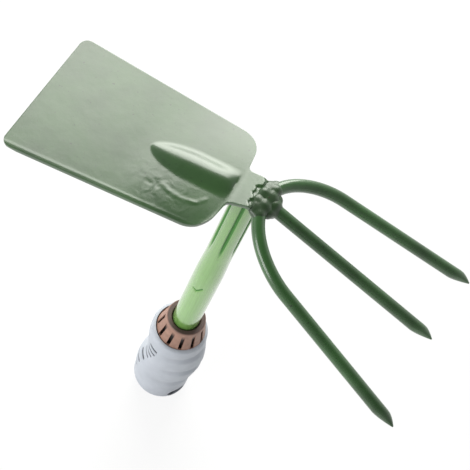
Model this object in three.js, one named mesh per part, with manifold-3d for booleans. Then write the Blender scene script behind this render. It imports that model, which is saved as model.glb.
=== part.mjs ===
// Hand hoe with a stamped blade on one side and three round tines on the other.
// Millimetres. +Z runs up the handle from the flat butt, +Y points to the tines, -Y to the blade.
import * as THREE from "three";
import { mergeVertices } from "three/addons/utils/BufferGeometryUtils.js";
import Module from "manifold-3d";

const wasm = await Module();
wasm.setup();

// Fits shared by the whole tool
const seatGap = 0.3;
const overrun = 2;
const degree = Math.PI / 180;

// Handle tube: thin drawn tube, swaged and fluted on the tang at its head end
const tubeRadius = 8;
const tubeWall = 1.2;
const exposedTube = 146;
const swageRadius = 7.2;
const swageLength = 58;
const swageTaper = 13;
const fluteCount = 6;
const fluteDepth = 0.9;
const fluteWidth = 2.2;
const fluteLength = 46;
const fluteFade = 26;
const flutePhase = 11 * degree;

// Grip: soft sleeve moulded over a hard core
const gripLength = 75;
const gripRadius = 17.2;
const buttRounding = 8;
const mouthRadius = 16.7;
const mouthRounding = 1.2;
const sleeveFloor = 3.2;
const coreRadius = 12.4;
const tubeStop = 20;
const gripTurn = 42 * degree;
const thumbPadHeight = 27;
const thumbPadLength = 40;
const thumbPadSpread = 60 * degree;
const thumbPadRise = 1.3;
const thumbNotchHeight = 47.5;
const thumbNotchLength = 37;
const thumbNotchSpread = 70 * degree;
const thumbNotchLead = 36 * degree;
const thumbNotchDepth = 2.4;
const fingerSide = 112 * degree;
const fingerGrooveCount = 3;
const fingerGroovePitch = 17.5;
const fingerGrooveDepth = 1.1;
const fingerGrooveWidth = 10;
const fingerGrooveSpread = 75 * degree;
const swellSide = 144 * degree;
const swellHeight = 46;
const swellLength = 60;
const swellSpread = 80 * degree;
const swellRise = 3.1;
const gripLean = 1.2;
const gripLeanSide = 161 * degree;
const gripLeanNeutral = 53;
const firstGrooveShare = 0.7;
const hangHoleWidth = 12;
const hangHoleHeight = 8;
const hangHoleLift = 9.5;
const hangHoleTurn = 66 * degree;
const seatClearance = 0.8;
const slitWidth = 2;
const slitDepth = 0.8;
const slitSteps = 6;

// Thumb slits, each with its height and the azimuths between which it runs
const slitTable = [
  { height: 61, from: -40 * degree, to: -14 * degree },
  { height: 55.5, from: -43 * degree, to: -16 * degree },
  { height: 50.5, from: -49 * degree, to: -22 * degree },
  { height: 45, from: -58 * degree, to: -29 * degree },
  { height: 38, from: -65 * degree, to: -36 * degree },
  { height: 30.5, from: -72 * degree, to: -42 * degree },
  { height: 23, from: -74 * degree, to: -46 * degree },
];

// Collar: tapered, slotted ferrule on the tube ahead of the core
const collarHeight = 18.2;
const collarSeatDepth = 3.2;
const collarFaceRadius = 11.5;
const collarBaseRadius = 15;
const collarBore = 8.45;
const collarChamfer = 0.5;
const slotCount = 12;
const slotWidth = 2.1;
const slotFloorRadius = 12.2;
const slotEndMargin = 2;
const slotPhase = -5 * degree;

// Blade: one stamped plate with a pressed rib that opens into the neck tab
const plateThickness = 2.5;
const edgeWidth = 79;
const shoulderWidth = 62.8;
const bladeRun = 107.2;
const shoulderBack = 9.1;
const bladeSlope = 8.6 * degree;
const bladeArch = 1.6;
const edgeCornerRadius = 4.5;
const shoulderCornerRadius = 13.5;
const shoulderSlope = 6 * degree;
const neckFilletRadius = 3;
const neckRootWidth = 21.6;
const neckEndWidth = 19;
const neckReach = 4.4;
const neckStandoff = 5.1;
const neckRise = 6.4;
const neckLevelFrom = 3.2;
const neckSlope = 22.8 * degree;
const bendSoftness = 0.35;
const ribNose = -54;
const ribEnd = -8.4;
const ribNoseRun = 26;
const ribSternRun = 11;
const ribFullness = 0.75;
const ribWidth = 20.6;
const ribShift = 0.9;
const ribRise = 2.9;
const ribCrestRound = 2;
const ribFootSoftness = 2;
const sharpenedRun = 9;
const sharpenedThickness = 0.9;

// Tines: one bent rod makes the outer two, a straight rod the middle one
const rodRadius = 3.4;
const tineSlope = 18.9 * degree;
const tineReach = 117;
const bowHalfWidth = 32.1;
const bowDepth = 34.7;
const bowCrownPull = 16;
const bowArmPull = 17;
const armSplay = 10.5 * degree;
const centreTineReach = 113.2;
const centreTineLean = -2.9 * degree;
const pointRunLong = 10.5;
const pointRunShort = 6.4;
const pointRadius = 0.7;

// Tang under the neck, and the weld beads at the junction
const tangRadius = 5;
const tangLength = 60;
const tangWeldFoot = 7.3;
const tangWeldTop = 8.8;
const beadRadius = 3.2;

// Mesh fineness
const roundSides = 36;
const rodSides = 14;
const gripSides = 52;
const cornerSteps = 8;
const ribColumns = 16;
const wingColumns = 3;
const plainRows = 3;
const ribRowStep = 3;
const neckRows = 5;
const crownSteps = 11;
const armSteps = 3;
const pointSteps = 4;
const swageSteps = 4;
const fluteSteps = 4;
const sidesPerFlute = 8;
const buttSteps = 5;
const sleeveSteps = 22;

// Heights and places that follow from the sizes above
const collarBase = gripLength - collarSeatDepth;
const collarFace = collarBase + collarHeight;
const tubeTop = collarFace + exposedTube;
const neckUnder = tubeTop + neckStandoff;
const neckTop = neckUnder + plateThickness;
const bowCrownY = neckReach + seatGap + rodRadius;
const bowCrownZ = neckTop - rodRadius;

function smoothStep(low, high, value) {
  return THREE.MathUtils.smoothstep(value, low, high);
}

// A bell that is 1 at its centre and falls to 0 at the given half width.
function bell(offset, halfWidth) {
  const share = Math.min(Math.abs(offset) / halfWidth, 1);
  return (1 + Math.cos(Math.PI * share)) / 2;
}

// The smallest turn between two azimuths.
function turnBetween(a, b) {
  return Math.atan2(Math.sin(a - b), Math.cos(a - b));
}

// A closed solid through rings that all hold the same number of points.
function loft(rings) {
  const sides = rings[0].length;
  const points = rings.flat();
  const index = [];
  for (let i = 0; i + 1 < rings.length; i++) {
    for (let j = 0; j < sides; j++) {
      const a = i * sides + j;
      const b = i * sides + ((j + 1) % sides);
      index.push(a, b, b + sides, a, b + sides, a + sides);
    }
  }
  const addCap = (ringStart, flipped) => {
    const centre = new THREE.Vector3();
    for (let j = 0; j < sides; j++) centre.addScaledVector(points[ringStart + j], 1 / sides);
    points.push(centre);
    const tip = points.length - 1;
    for (let j = 0; j < sides; j++) {
      const a = ringStart + j;
      const b = ringStart + ((j + 1) % sides);
      index.push(tip, flipped ? b : a, flipped ? a : b);
    }
  };
  addCap(0, true);
  addCap((rings.length - 1) * sides, false);
  const geometry = new THREE.BufferGeometry().setFromPoints(points);
  geometry.setIndex(index);
  return facingOut(geometry);
}

// Turns every face round when the rings ran the other way.
function facingOut(geometry) {
  const p = geometry.getAttribute("position");
  const index = geometry.index.array;
  const a = new THREE.Vector3();
  const b = new THREE.Vector3();
  const c = new THREE.Vector3();
  let volume = 0;
  for (let i = 0; i < index.length; i += 3) {
    a.fromBufferAttribute(p, index[i]);
    b.fromBufferAttribute(p, index[i + 1]);
    c.fromBufferAttribute(p, index[i + 2]);
    volume += a.dot(b.cross(c));
  }
  if (volume < 0) geometry.setIndex(Array.from(index).reverse());
  return geometry;
}

// A revolved solid from [radius, height] corners of a closed profile.
function revolve(corners, sides) {
  const outline = corners.map(([radius, height]) => new THREE.Vector2(radius, height));
  outline.push(outline[0].clone());
  const geometry = new THREE.LatheGeometry(outline, sides);
  geometry.rotateX(Math.PI / 2);
  return geometry;
}

function toSolid(geometry) {
  const bare = geometry.clone();
  bare.deleteAttribute("normal");
  bare.deleteAttribute("uv");
  const merged = mergeVertices(bare, 1e-4);
  const kept = [];
  const index = merged.index.array;
  for (let i = 0; i < index.length; i += 3) {
    const [a, b, c] = index.slice(i, i + 3);
    if (a !== b && b !== c && c !== a) kept.push(a, b, c);
  }
  const made = new wasm.Manifold(
    new wasm.Mesh({
      numProp: 3,
      vertProperties: merged.getAttribute("position").array,
      triVerts: new Uint32Array(kept),
    }),
  );
  return made;
}

function toGeometry(solid) {
  const mesh = solid.getMesh();
  const geometry = new THREE.BufferGeometry();
  geometry.setAttribute("position", new THREE.BufferAttribute(mesh.vertProperties.slice(), 3));
  geometry.setIndex(new THREE.BufferAttribute(mesh.triVerts.slice(), 1));
  geometry.computeVertexNormals();
  return geometry;
}

// The biggest of the bodies that a cut leaves.
function mainBody(solid) {
  const bodies = solid.decompose();
  return bodies.reduce((best, body) => (body.volume() > best.volume() ? body : best));
}

function subtractAll(body, cutters) {
  return cutters.reduce((left, cutter) => left.subtract(cutter), body);
}

// Half of the trimmed outline, from the cutting edge round the shoulder to the end of the neck.
function halfOutline() {
  const edge = new THREE.Vector2(edgeWidth / 2, -shoulderBack - bladeRun);
  const shoulder = new THREE.Vector2(shoulderWidth / 2, -shoulderBack);
  const rootRise = (shoulder.x - neckRootWidth / 2) * Math.tan(shoulderSlope);
  const root = new THREE.Vector2(neckRootWidth / 2, shoulder.y + rootRise);
  const end = new THREE.Vector2(neckEndWidth / 2, neckReach);
  const half = new THREE.Path();
  half.moveTo(0, edge.y);
  roundCorner(half, new THREE.Vector2(0, edge.y), edge, shoulder, edgeCornerRadius);
  roundCorner(half, edge, shoulder, root, shoulderCornerRadius);
  roundCorner(half, shoulder, root, end, neckFilletRadius);
  half.lineTo(end.x, end.y);
  return half.getPoints(cornerSteps);
}

// Adds an arc of the given radius where two straight runs meet.
function roundCorner(path, before, corner, after, radius) {
  const back = before.clone().sub(corner).normalize();
  const ahead = after.clone().sub(corner).normalize();
  const halfTurn = Math.acos(THREE.MathUtils.clamp(back.dot(ahead), -1, 1)) / 2;
  const tangent = radius / Math.tan(halfTurn);
  const start = corner.clone().addScaledVector(back, tangent);
  const stop = corner.clone().addScaledVector(ahead, tangent);
  const middle = back.clone().add(ahead).normalize();
  const centre = corner.clone().addScaledVector(middle, radius / Math.sin(halfTurn));
  const from = Math.atan2(start.y - centre.y, start.x - centre.x);
  const to = Math.atan2(stop.y - centre.y, stop.x - centre.x);
  const clockwise = turnBetween(to, from) < 0;
  path.lineTo(start.x, start.y);
  path.absarc(centre.x, centre.y, radius, from, to, clockwise);
}

// The rib above the blade: a leaf-shaped nose, soft feet, and a short stern that ends in the neck's bend.
function ribHeight(x, y) {
  if (y <= ribNose || y >= ribEnd) return 0;
  const fromNose = Math.min((y - ribNose) / ribNoseRun, 1);
  const fromStern = Math.min((ribEnd - y) / ribSternRun, 1);
  const swell = fromNose * (2 - fromNose);
  const stern = fromStern * (2 - fromStern);
  const across = Math.min(Math.abs(x - ribShift) / ((ribWidth / 2) * Math.sqrt(swell)), 1);
  const section = (1 - across ** ribCrestRound) ** ribFootSoftness;
  return ribRise * (swell * stern) ** ribFullness * section;
}

// Height of the plate's top face: the sloping blade, which arches a little towards the shoulders, the neck
// that ramps up from it to a level end, and the rib pressed up from both.
function plateHeight(x, y) {
  const flat = neckTop - neckRise + (y + shoulderBack) * Math.tan(bladeSlope);
  const fromEdge = THREE.MathUtils.clamp((y + shoulderBack + bladeRun) / bladeRun, 0, 1);
  const arch = bladeArch * smoothStep(0, 1, fromEdge);
  const halfWidth = THREE.MathUtils.lerp(edgeWidth, shoulderWidth, fromEdge) / 2;
  const bladeZ = flat + arch * Math.max(1 - (x / halfWidth) ** 2, 0);
  const ramp = neckTop - Math.max(neckLevelFrom - y, 0) * Math.tan(neckSlope);
  const sheet = (bladeZ + ramp + Math.hypot(bladeZ - ramp, bendSoftness)) / 2;
  return sheet + ribHeight(x, y);
}

function plateThicknessAt(y) {
  const share = Math.min((y + shoulderBack + bladeRun) / sharpenedRun, 1);
  return THREE.MathUtils.lerp(sharpenedThickness, plateThickness, share);
}

// The rows and columns at which the die is drawn: close together over the rib, and wide apart beside it.
function dieLines() {
  const outer = edgeWidth / 2 + overrun;
  const inner = ribWidth / 2 + ribShift + overrun;
  const wing = [];
  for (let i = 0; i < wingColumns; i++) wing.push(outer + ((inner - outer) * i) / wingColumns);
  const columns = wing.map((x) => -x);
  for (let i = 0; i <= ribColumns; i++) columns.push(inner * ((2 * i) / ribColumns - 1));
  columns.push(...wing.reverse());
  const edgeY = -shoulderBack - bladeRun;
  const rows = [edgeY - overrun];
  const plainFrom = edgeY + sharpenedRun;
  for (let i = 0; i < plainRows; i++) rows.push(plainFrom + ((ribNose - plainFrom) * i) / plainRows);
  const ribRows = Math.ceil((ribEnd - ribNose) / ribRowStep);
  for (let i = 0; i <= ribRows; i++) rows.push(ribNose + ((ribEnd - ribNose) * i) / ribRows);
  for (let i = 1; i <= neckRows; i++) rows.push(ribEnd + ((neckReach + overrun - ribEnd) * i) / neckRows);
  return { columns, rows };
}

// The pressed sheet is a loft of its cross-sections, then trimmed to the outline. A margin swells it all round.
function plateSolid(margin) {
  const { columns, rows } = dieLines();
  const rings = rows.map((y) => {
    const over = columns.map((x) => new THREE.Vector3(x, y, plateHeight(x, y) + margin));
    const under = columns.map((x) => {
      return new THREE.Vector3(x, y, plateHeight(x, y) - plateThicknessAt(y) - margin);
    });
    return [...over, ...under.reverse()];
  });
  const sheet = toSolid(loft(rings));
  const right = halfOutline().map((point) => [point.x, point.y]);
  const left = right.map(([x, y]) => [-x, y]).reverse();
  const outline = new wasm.CrossSection([...right, ...left.slice(0, -1)]).offset(margin, "Round");
  const trim = outline.extrude(neckTop * 2);
  return sheet.intersect(trim);
}

// A round rod along points of the tine plane, given as across and along, with each forged point at its end.
function rodGeometry(centres, radius, pointed) {
  const total = centres.length;
  const lengths = [0];
  for (let i = 1; i < total; i++) lengths.push(lengths[i - 1] + centres[i].distanceTo(centres[i - 1]));
  const whole = lengths.at(-1);
  const rings = centres.map((centre, i) => {
    const ahead = centres[Math.min(i + 1, total - 1)];
    const behind = centres[Math.max(i - 1, 0)];
    const along = ahead.clone().sub(behind).normalize();
    const side = new THREE.Vector2(along.y, -along.x);
    const toEnd = whole - lengths[i];
    const toStart = pointed === 2 ? lengths[i] : Infinity;
    const left = pointed ? Math.min(toEnd, toStart) : Infinity;
    const leftHand = pointed === 2 && toStart < toEnd ? -1 : 1;
    const ring = [];
    for (let j = 0; j < rodSides; j++) {
      const angle = (2 * Math.PI * j) / rodSides;
      const sideways = Math.cos(angle) * leftHand;
      const run = sideways > 0 ? pointRunLong : pointRunShort;
      const wide = taper(left, run, radius);
      const high = taper(left, (pointRunLong + pointRunShort) / 2, radius);
      const out = side.clone().multiplyScalar(Math.cos(angle) * wide);
      ring.push(new THREE.Vector3(centre.x + out.x, centre.y + out.y, Math.sin(angle) * high));
    }
    return ring;
  });
  return loft(rings);
}

function taper(left, run, radius) {
  const share = THREE.MathUtils.clamp(left / run, 0, 1);
  return THREE.MathUtils.lerp(pointRadius, radius, share);
}

// Centre line of the bow in the tine plane: arm, bent crown, arm.
function bowCentres() {
  const armStart = new THREE.Vector2(bowHalfWidth, bowDepth);
  const armRun = (tineReach - bowDepth) / Math.cos(armSplay);
  const armDirection = new THREE.Vector2(Math.sin(armSplay), Math.cos(armSplay));
  const crown = new THREE.CubicBezierCurve(
    new THREE.Vector2(0, 0),
    new THREE.Vector2(bowCrownPull, 0),
    armStart.clone().addScaledVector(armDirection, -bowArmPull),
    armStart,
  );
  const half = crown.getSpacedPoints(crownSteps);
  const shank = armRun - pointRunLong;
  for (let i = 1; i <= armSteps; i++) half.push(armStart.clone().addScaledVector(armDirection, (shank * i) / armSteps));
  for (let i = 1; i <= pointSteps; i++) {
    const run = shank + (pointRunLong * i) / pointSteps;
    half.push(armStart.clone().addScaledVector(armDirection, run));
  }
  const mirrored = half.slice(1).reverse().map((point) => new THREE.Vector2(-point.x, point.y));
  return [...mirrored, ...half];
}

function centreTineCentres() {
  const direction = new THREE.Vector2(Math.sin(centreTineLean), Math.cos(centreTineLean));
  const run = centreTineReach / direction.y;
  const from = new THREE.Vector2(0, 0);
  const shank = run - pointRunLong;
  const centres = [from];
  for (let i = 1; i <= armSteps; i++) centres.push(from.clone().addScaledVector(direction, (shank * i) / armSteps));
  for (let i = 1; i <= pointSteps; i++) {
    const along = shank + (pointRunLong * i) / pointSteps;
    centres.push(from.clone().addScaledVector(direction, along));
  }
  return centres;
}

// The tine plane hangs down from the crown of the bow.
function tinePlane() {
  const plane = new THREE.Group();
  plane.position.set(0, bowCrownY, bowCrownZ);
  plane.rotation.x = -tineSlope;
  plane.updateMatrix();
  return plane;
}

function inTool(geometry, plane) {
  return geometry.clone().applyMatrix4(plane.matrix);
}

// The tube: a loft of round rings, with the flutes pressed in over its swaged end.
function tubeGeometry() {
  const swageStart = tubeTop - swageLength - swageTaper;
  const fluteStart = tubeTop - fluteLength;
  const heights = [tubeStop, swageStart];
  for (let i = 1; i <= swageSteps; i++) heights.push(swageStart + (swageTaper * i) / swageSteps);
  heights.push(fluteStart);
  for (let i = 1; i <= fluteSteps; i++) heights.push(fluteStart + (fluteLength * i) / fluteSteps);
  const sides = fluteCount * sidesPerFlute;
  const wall = (inward) =>
    heights.map((z) => {
      const squeezed = smoothStep(swageStart, swageStart + swageTaper, z);
      const round = THREE.MathUtils.lerp(tubeRadius, swageRadius, squeezed) - inward;
      const pressed = fluteDepth * smoothStep(fluteStart, fluteStart + fluteFade, z);
      const ring = [];
      for (let j = 0; j < sides; j++) {
        const azimuth = flutePhase + (2 * Math.PI * (j - sidesPerFlute / 2)) / sides;
        const nearest = (j % sidesPerFlute) - sidesPerFlute / 2;
        const offset = (nearest * 2 * Math.PI * round) / sides;
        const radius = round - pressed * bell(offset, fluteWidth);
        ring.push(new THREE.Vector3(radius * Math.cos(azimuth), radius * Math.sin(azimuth), z));
      }
      return ring;
    });
  const outer = wall(0);
  const inner = wall(tubeWall).reverse();
  const loop = [...outer, ...inner];
  return closedShell(loop);
}

// A hollow solid whose rings run up the outside and down the inside, back to the first ring.
function closedShell(rings) {
  const sides = rings[0].length;
  const index = [];
  for (let i = 0; i < rings.length; i++) {
    const next = (i + 1) % rings.length;
    for (let j = 0; j < sides; j++) {
      const a = i * sides + j;
      const b = i * sides + ((j + 1) % sides);
      const c = next * sides + j;
      const d = next * sides + ((j + 1) % sides);
      index.push(a, b, d, a, d, c);
    }
  }
  const geometry = new THREE.BufferGeometry().setFromPoints(rings.flat());
  geometry.setIndex(index);
  return facingOut(geometry);
}

function collarGeometry() {
  const body = toSolid(
    revolve(
      [
        [collarBore, collarBase],
        [collarBaseRadius - collarChamfer, collarBase],
        [collarBaseRadius, collarBase + collarChamfer],
        [collarFaceRadius, collarFace - collarChamfer],
        [collarFaceRadius - collarChamfer, collarFace],
        [collarBore + collarChamfer, collarFace],
        [collarBore, collarFace - collarChamfer],
      ],
      roundSides,
    ),
  );
  const slotDepth = collarBaseRadius + overrun - slotFloorRadius;
  const slotHeight = collarFace - slotEndMargin - gripLength;
  const cutters = [];
  for (let i = 0; i < slotCount; i++) {
    const slot = new THREE.BoxGeometry(slotDepth, slotWidth, slotHeight);
    slot.translate(slotFloorRadius + slotDepth / 2, 0, gripLength + slotHeight / 2);
    slot.rotateZ(slotPhase + (2 * Math.PI * i) / slotCount);
    cutters.push(toSolid(slot));
  }
  return toGeometry(subtractAll(body, cutters));
}

// Radius of the bare sleeve at a height above the butt.
function sleeveProfile(z) {
  if (z < buttRounding) {
    const drop = buttRounding - z;
    const full = gripRadius - buttRounding;
    return full + Math.sqrt(Math.max(buttRounding ** 2 - drop ** 2, 0));
  }
  const share = (z - buttRounding) / (gripLength - buttRounding);
  return THREE.MathUtils.lerp(gripRadius, mouthRadius, share * share);
}

// The hand-shaped sleeve surface: thumb pad and notch on one side, finger grooves and swell on the other,
// and the whole leaning a little towards the fingers at its foot.
function sleeveRadius(azimuth, z) {
  const thumb = gripTurn - Math.PI / 2;
  const padTurn = turnBetween(azimuth, thumb);
  const notchTurn = turnBetween(azimuth, thumb - thumbNotchLead);
  const fingerTurn = turnBetween(azimuth, thumb + fingerSide);
  const swellTurn = turnBetween(azimuth, thumb + swellSide);
  const grooved = fingerGrooveDepth * bell(fingerTurn, fingerGrooveSpread);
  let radius = sleeveProfile(z);
  radius += thumbPadRise * bell(padTurn, thumbPadSpread) * bell(z - thumbPadHeight, thumbPadLength / 2);
  radius -= thumbNotchDepth * bell(notchTurn, thumbNotchSpread) * bell(z - thumbNotchHeight, thumbNotchLength / 2);
  radius += swellRise * bell(swellTurn, swellSpread) * bell(z - swellHeight, swellLength / 2);
  radius += gripLean * Math.cos(turnBetween(azimuth, thumb + gripLeanSide)) * (1 - z / gripLeanNeutral);
  for (let i = 0; i < fingerGrooveCount; i++) {
    const height = gripLength - fingerGroovePitch * (i + firstGrooveShare);
    radius -= grooved * bell(z - height, fingerGrooveWidth / 2);
  }
  return radius;
}

function hangHoleSolid() {
  const arm = (hangHoleWidth - hangHoleHeight) / 2;
  const end = hangHoleHeight / 2;
  const outline = new THREE.Shape();
  outline.absarc(arm, 0, end, -Math.PI / 2, Math.PI / 2, false);
  outline.absarc(-arm, 0, end, Math.PI / 2, (3 * Math.PI) / 2, false);
  const length = 2 * (gripRadius + overrun);
  const hole = new THREE.ExtrudeGeometry(outline, { depth: length, bevelEnabled: false, curveSegments: 8 });
  hole.translate(0, 0, -length / 2);
  hole.rotateX(Math.PI / 2);
  hole.rotateZ(hangHoleTurn - Math.PI / 2);
  hole.translate(0, 0, hangHoleLift);
  return toSolid(hole);
}

function sleeveGeometry(hangHole) {
  const heights = [];
  for (let i = 0; i <= buttSteps; i++) {
    heights.push(buttRounding * (1 - Math.cos((Math.PI * i) / (2 * buttSteps))));
  }
  const bodyRun = gripLength - mouthRounding - buttRounding;
  for (let i = 1; i <= sleeveSteps; i++) heights.push(buttRounding + (bodyRun * i) / sleeveSteps);
  const rings = heights.map((z) => sleeveRing(z, 0));
  rings.push(sleeveRing(gripLength - mouthRounding * 0.3, mouthRounding * 0.3));
  rings.push(sleeveRing(gripLength, mouthRounding));
  const outer = toSolid(loft(rings));
  const cavityRadius = coreRadius + seatGap;
  const seatRadius = collarBaseRadius + seatClearance;
  const coreTop = collarBase - seatGap;
  const cavity = toSolid(
    revolve(
      [
        [0, sleeveFloor],
        [cavityRadius, sleeveFloor],
        [cavityRadius, coreTop],
        [seatRadius, coreTop],
        [seatRadius, gripLength + overrun],
        [0, gripLength + overrun],
      ],
      roundSides,
    ),
  );
  return toGeometry(subtractAll(outer, [cavity, hangHole, ...slitTable.map(slitSolid)]));
}

// A groove with a pointed floor that follows the sleeve and runs out at both ends.
function slitSolid(slit) {
  const rings = [];
  for (let i = 0; i <= slitSteps; i++) {
    const azimuth = THREE.MathUtils.lerp(slit.from, slit.to, i / slitSteps);
    const surface = sleeveRadius(azimuth, slit.height);
    const depth = slitDepth * Math.sin((Math.PI * (i + 1)) / (slitSteps + 2));
    const corners = [
      [surface - depth, 0],
      [surface + slitDepth, slitWidth],
      [surface + slitDepth, -slitWidth],
    ];
    rings.push(
      corners.map(([radius, rise]) => {
        return new THREE.Vector3(radius * Math.cos(azimuth), radius * Math.sin(azimuth), slit.height + rise);
      }),
    );
  }
  return toSolid(loft(rings));
}

function sleeveRing(z, inward) {
  const ring = [];
  for (let j = 0; j < gripSides; j++) {
    const azimuth = (2 * Math.PI * j) / gripSides;
    const radius = sleeveRadius(azimuth, z) - inward;
    ring.push(new THREE.Vector3(radius * Math.cos(azimuth), radius * Math.sin(azimuth), z));
  }
  return ring;
}

// The core is a hard moulding with a blind socket for the tube.
function coreGeometry(hangHole) {
  const socketRadius = tubeRadius + seatGap;
  const bottom = sleeveFloor + seatGap;
  const top = collarBase - seatGap;
  const body = toSolid(
    revolve(
      [
        [0, bottom],
        [coreRadius, bottom],
        [coreRadius, top],
        [socketRadius, top],
        [socketRadius, tubeStop - seatGap],
        [0, tubeStop - seatGap],
      ],
      roundSides,
    ),
  );
  return toGeometry(body.subtract(hangHole));
}

function ball(radius, x, y, z, squash) {
  const geometry = new THREE.SphereGeometry(radius, 12, 9);
  geometry.scale(1, 1, squash);
  geometry.translate(x, y, z);
  return toSolid(geometry);
}

// A lumpy bead: overlapping balls, one after another.
function bead(lumps) {
  const balls = lumps.map(([x, y, z, radius]) => ball(radius, x, y, z, 0.9));
  return balls.reduce((whole, next) => whole.add(next));
}

const tool = new THREE.Group();

function addPiece(parent, name, geometry, color, roughness, metalness) {
  const material = new THREE.MeshStandardMaterial({ color, roughness, metalness });
  const mesh = new THREE.Mesh(geometry, material);
  mesh.name = name;
  parent.add(mesh);
  return mesh;
}

const headPaint = [0x7f9c7c, 0.35, 0.2];
const tubeFinish = [0x9fc489, 0.25, 0.8];

// Head
const plane = tinePlane();
const bow = rodGeometry(bowCentres(), rodRadius, 2);
const bowSpace = rodGeometry(bowCentres(), rodRadius + seatGap, 0);
const bowRoom = toSolid(inTool(bowSpace, plane));
const wholeTine = toSolid(rodGeometry(centreTineCentres(), rodRadius, 1));
const centreTine = toGeometry(mainBody(wholeTine.subtract(toSolid(bowSpace))));
const centreTineRoom = toSolid(inTool(rodGeometry(centreTineCentres(), rodRadius + seatGap, 0), plane));
const plateRoom = plateSolid(seatGap);

addPiece(tool, "blade", toGeometry(plateSolid(0)), ...headPaint);
addPiece(plane, "outer_tine_bow", bow, ...headPaint);
addPiece(plane, "centre_tine", centreTine, ...headPaint);
tool.add(plane);

const tangTop = neckUnder - seatGap;
const tangBody = toSolid(
  revolve(
    [
      [0, tubeTop - tangLength],
      [tangRadius, tubeTop - tangLength],
      [tangRadius, tangTop],
      [0, tangTop],
    ],
    roundSides,
  ),
);
const tang = mainBody(subtractAll(tangBody, [bowRoom, plateRoom]));
addPiece(tool, "tang", toGeometry(tang), ...headPaint);

const tangWeldBody = toSolid(
  revolve(
    [
      [tangRadius + seatGap, tubeTop + seatGap],
      [tangWeldFoot, tubeTop + seatGap],
      [tangWeldTop, tangTop],
      [tangRadius + seatGap, tangTop],
    ],
    roundSides,
  ),
);
const tangWeld = mainBody(subtractAll(tangWeldBody, [bowRoom, plateRoom]));
addPiece(tool, "tang_weld", toGeometry(tangWeld), ...headPaint);

// Weld beads over the joint of neck and bow, and round the root of the centre tine
const crown = bowCrownY;
const topOfRod = bowCrownZ + rodRadius;
const neckBead = bead([
  [-beadRadius * 2.3, crown - rodRadius * 0.75, topOfRod - beadRadius * 0.8, beadRadius * 0.9],
  [-beadRadius * 1.2, crown - rodRadius * 0.6, topOfRod - beadRadius * 0.65, beadRadius],
  [0, crown - rodRadius * 0.8, topOfRod - beadRadius * 0.6, beadRadius],
  [beadRadius * 1.1, crown - rodRadius * 0.55, topOfRod - beadRadius * 0.55, beadRadius * 1.05],
  [beadRadius * 2.1, crown - rodRadius * 0.75, topOfRod - beadRadius * 0.65, beadRadius],
  [beadRadius * 2.9, crown - rodRadius * 0.9, topOfRod - beadRadius * 1.1, beadRadius * 0.85],
]);
const weldNeighbours = [plateRoom, bowRoom, centreTineRoom];
const tangSpace = toSolid(
  revolve(
    [
      [0, tubeTop],
      [tangWeldTop + seatGap, tubeTop],
      [tangWeldTop + seatGap, neckUnder],
      [0, neckUnder],
    ],
    roundSides,
  ),
);
const neckWeld = mainBody(subtractAll(neckBead, [...weldNeighbours, tangSpace]));
addPiece(tool, "neck_weld", toGeometry(neckWeld), ...headPaint);

const rootBead = bead([
  [-beadRadius * 1.15, crown + rodRadius * 1.35, topOfRod - rodRadius * 1.35, beadRadius * 1.1],
  [0, crown + rodRadius * 1.45, topOfRod - rodRadius * 0.95, beadRadius * 1.15],
  [beadRadius * 1.2, crown + rodRadius * 1.35, topOfRod - rodRadius * 1.35, beadRadius * 1.05],
  [beadRadius * 0.2, crown + rodRadius * 1.6, topOfRod - rodRadius * 2.4, beadRadius],
]);
const neckWeldRoom = neckBead.subtract(plateRoom);
const rootWeld = mainBody(subtractAll(rootBead, [...weldNeighbours, neckWeldRoom, tangSpace]));
addPiece(tool, "centre_tine_weld", toGeometry(rootWeld), ...headPaint);

// Handle
const hangHole = hangHoleSolid();
addPiece(tool, "tube", tubeGeometry(), ...tubeFinish);
addPiece(tool, "collar", collarGeometry(), 0x7d6a61, 0.55, 0);
addPiece(tool, "grip_core", coreGeometry(hangHole), 0x3b2f2a, 0.6, 0);
addPiece(tool, "grip_sleeve", sleeveGeometry(hangHole), 0xb6bbc3, 0.8, 0);

export default tool;
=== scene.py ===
import math

import bmesh
import bpy
from mathutils import Matrix, Vector, noise


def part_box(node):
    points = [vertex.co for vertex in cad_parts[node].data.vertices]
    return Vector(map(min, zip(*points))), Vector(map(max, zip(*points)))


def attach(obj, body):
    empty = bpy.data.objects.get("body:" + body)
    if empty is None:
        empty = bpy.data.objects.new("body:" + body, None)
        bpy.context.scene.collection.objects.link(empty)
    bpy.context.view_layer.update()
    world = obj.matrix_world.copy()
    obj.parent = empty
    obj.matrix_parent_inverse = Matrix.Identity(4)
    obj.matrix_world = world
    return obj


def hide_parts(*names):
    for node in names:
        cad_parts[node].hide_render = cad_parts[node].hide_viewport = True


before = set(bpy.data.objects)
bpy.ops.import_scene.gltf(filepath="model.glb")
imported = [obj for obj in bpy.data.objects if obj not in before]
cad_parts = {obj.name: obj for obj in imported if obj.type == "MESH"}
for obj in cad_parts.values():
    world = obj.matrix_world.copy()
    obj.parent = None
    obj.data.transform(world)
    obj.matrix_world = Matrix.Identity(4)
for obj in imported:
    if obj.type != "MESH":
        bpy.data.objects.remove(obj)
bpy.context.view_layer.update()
print("frame loaded")

# Hand hoe: stamped blade and three tines on a swaged tube, with a slotted collar and a soft grip
# sizes are in millimetres until a mesh is made, and angles in radians

scene = bpy.context.scene
mm = 0.001
seatGap = 0.3  # room between two pieces that are fused or pressed together
hair = 1e-6  # less than this is nothing
touching = 0.001  # points closer than this many millimetres are one


# Small helpers: numbers

def boxOf(node):
    low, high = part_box(node)
    return Vector(low) / mm, Vector(high) / mm


def smoothStep(low, high, value):
    share = min(max((value - low) / (high - low), 0), 1)
    return share * share * (3 - 2 * share)


def mix(a, b, share):
    return a + (b - a) * share


def bell(offset, halfWidth):
    share = min(abs(offset) / halfWidth, 1)
    return (1 + math.cos(math.pi * share)) / 2


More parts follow.
